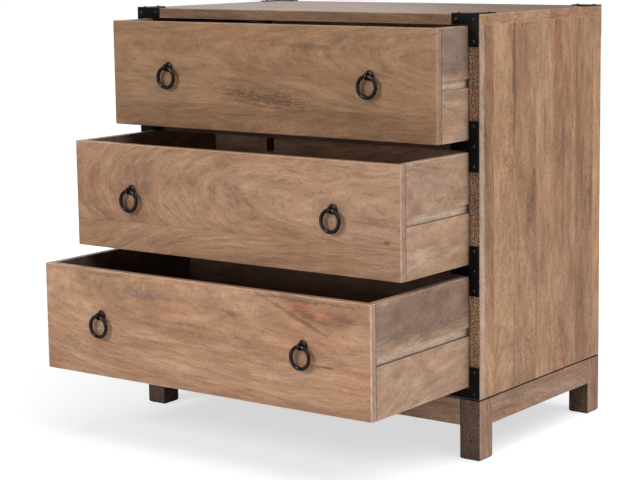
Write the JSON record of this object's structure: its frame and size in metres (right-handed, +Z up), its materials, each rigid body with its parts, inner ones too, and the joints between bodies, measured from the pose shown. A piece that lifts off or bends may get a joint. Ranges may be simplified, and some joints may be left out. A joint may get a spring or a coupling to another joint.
{
  "type": "dresser",
  "caption": "Free-standing chest of drawers on square legs, solid wood boards with black iron corner straps, drawers on side runners, ring pulls.",
  "frame": {"origin": "on the floor, under the centre of the bounding box of the object as pictured, with its drawers pulled out by steps", "axes": "+Z up; the drawer fronts face -Y; +X is to the right of a person who stands in front of the drawers"},
  "size_m": [0.813, 0.7784, 0.8201],
  "materials": {
    "wood_carcass": "waxed light brown solid wood with a washed bloom",
    "wood_front": "waxed light brown solid wood, figured grain",
    "wood_inside": "planed and lightly waxed",
    "wood_base": "waxed light brown solid wood",
    "runner_dark": "dark stained hardwood batten",
    "iron_black": "blackened hand-cut sheet, satin",
    "bronze_dark": "dark bronze-black patina, rubbed",
    "steel_zinc": "zinc plated"
  },
  "bodies": {
    "root": {"top_board": "wood_carcass", "side_panel_left": "wood_carcass", "side_panel_right": "wood_carcass", "bottom_board": "wood_carcass", "back_panel": "wood_inside", "divider_rail_lower": "wood_carcass", "divider_rail_upper": "wood_carcass", "runner_bottom_left": "runner_dark", "runner_bottom_right": "runner_dark", "runner_middle_left": "runner_dark", "runner_middle_right": "runner_dark", "runner_top_left": "runner_dark", "runner_top_right": "runner_dark", "leg_front_left": "wood_base", "leg_front_right": "wood_base", "leg_rear_left": "wood_base", "leg_rear_right": "wood_base", "base_rail_front": "wood_base", "base_rail_rear": "wood_base", "base_rail_left": "wood_base", "base_rail_right": "wood_base", "corner_bracket_front_left": "iron_black", "corner_bracket_front_right": "iron_black", "corner_bracket_rear_left": "iron_black", "corner_bracket_rear_right": "iron_black", "tee_bracket_lower_left": "iron_black", "tee_bracket_lower_right": "iron_black", "tee_bracket_upper_left": "iron_black", "tee_bracket_upper_right": "iron_black", "bottom_bracket_left": "iron_black", "bottom_bracket_right": "iron_black", "bracket_nails": "iron_black", "drawer_stops": "wood_inside"},
    "drawer_bottom": {"drawer_bottom_front": "wood_front", "drawer_bottom_side_left": "wood_inside", "drawer_bottom_side_right": "wood_inside", "drawer_bottom_back": "wood_inside", "drawer_bottom_bottom": "wood_inside", "pull_bosses_bottom": "bronze_dark", "pull_screws_bottom": "steel_zinc"},
    "ring_bottom_left": {"pull_ring_bottom_left": "bronze_dark"},
    "ring_bottom_right": {"pull_ring_bottom_right": "bronze_dark"},
    "drawer_middle": {"drawer_middle_front": "wood_front", "drawer_middle_side_left": "wood_inside", "drawer_middle_side_right": "wood_inside", "drawer_middle_back": "wood_inside", "drawer_middle_bottom": "wood_inside", "pull_bosses_middle": "bronze_dark", "pull_screws_middle": "steel_zinc"},
    "ring_middle_left": {"pull_ring_middle_left": "bronze_dark"},
    "ring_middle_right": {"pull_ring_middle_right": "bronze_dark"},
    "drawer_top": {"drawer_top_front": "wood_front", "drawer_top_side_left": "wood_inside", "drawer_top_side_right": "wood_inside", "drawer_top_back": "wood_inside", "drawer_top_bottom": "wood_inside", "pull_bosses_top": "bronze_dark", "pull_screws_top": "steel_zinc"},
    "ring_top_left": {"pull_ring_top_left": "bronze_dark"},
    "ring_top_right": {"pull_ring_top_right": "bronze_dark"}
  },
  "joints": [
    {"name": "drawer_bottom_slide", "type": "slide", "parent": "root", "child": "drawer_bottom", "axis": [0, -1, 0], "range_m": [-0.306, 0.0405]},
    {"name": "pull_ring_bottom_left_hinge", "type": "hinge", "parent": "drawer_bottom", "child": "ring_bottom_left", "pos_m": [-0.238, -0.3826, 0.2549], "axis": [-1, 0, 0], "range_deg": [-8, 165]},
    {"name": "pull_ring_bottom_right_hinge", "type": "hinge", "parent": "drawer_bottom", "child": "ring_bottom_right", "pos_m": [0.238, -0.3826, 0.2549], "axis": [-1, 0, 0], "range_deg": [-8, 165]},
    {"name": "drawer_middle_slide", "type": "slide", "parent": "root", "child": "drawer_middle", "axis": [0, -1, 0], "range_m": [-0.214, 0.1325]},
    {"name": "pull_ring_middle_left_hinge", "type": "hinge", "parent": "drawer_middle", "child": "ring_middle_left", "pos_m": [-0.238, -0.2906, 0.4815], "axis": [-1, 0, 0], "range_deg": [-8, 165]},
    {"name": "pull_ring_middle_right_hinge", "type": "hinge", "parent": "drawer_middle", "child": "ring_middle_right", "pos_m": [0.238, -0.2906, 0.4815], "axis": [-1, 0, 0], "range_deg": [-8, 165]},
    {"name": "drawer_top_slide", "type": "slide", "parent": "root", "child": "drawer_top", "axis": [0, -1, 0], "range_m": [-0.1, 0.2465]},
    {"name": "pull_ring_top_left_hinge", "type": "hinge", "parent": "drawer_top", "child": "ring_top_left", "pos_m": [-0.238, -0.1766, 0.7081], "axis": [-1, 0, 0], "range_deg": [-8, 165]},
    {"name": "pull_ring_top_right_hinge", "type": "hinge", "parent": "drawer_top", "child": "ring_top_right", "pos_m": [0.238, -0.1766, 0.7081], "axis": [-1, 0, 0], "range_deg": [-8, 165]}
  ]
}
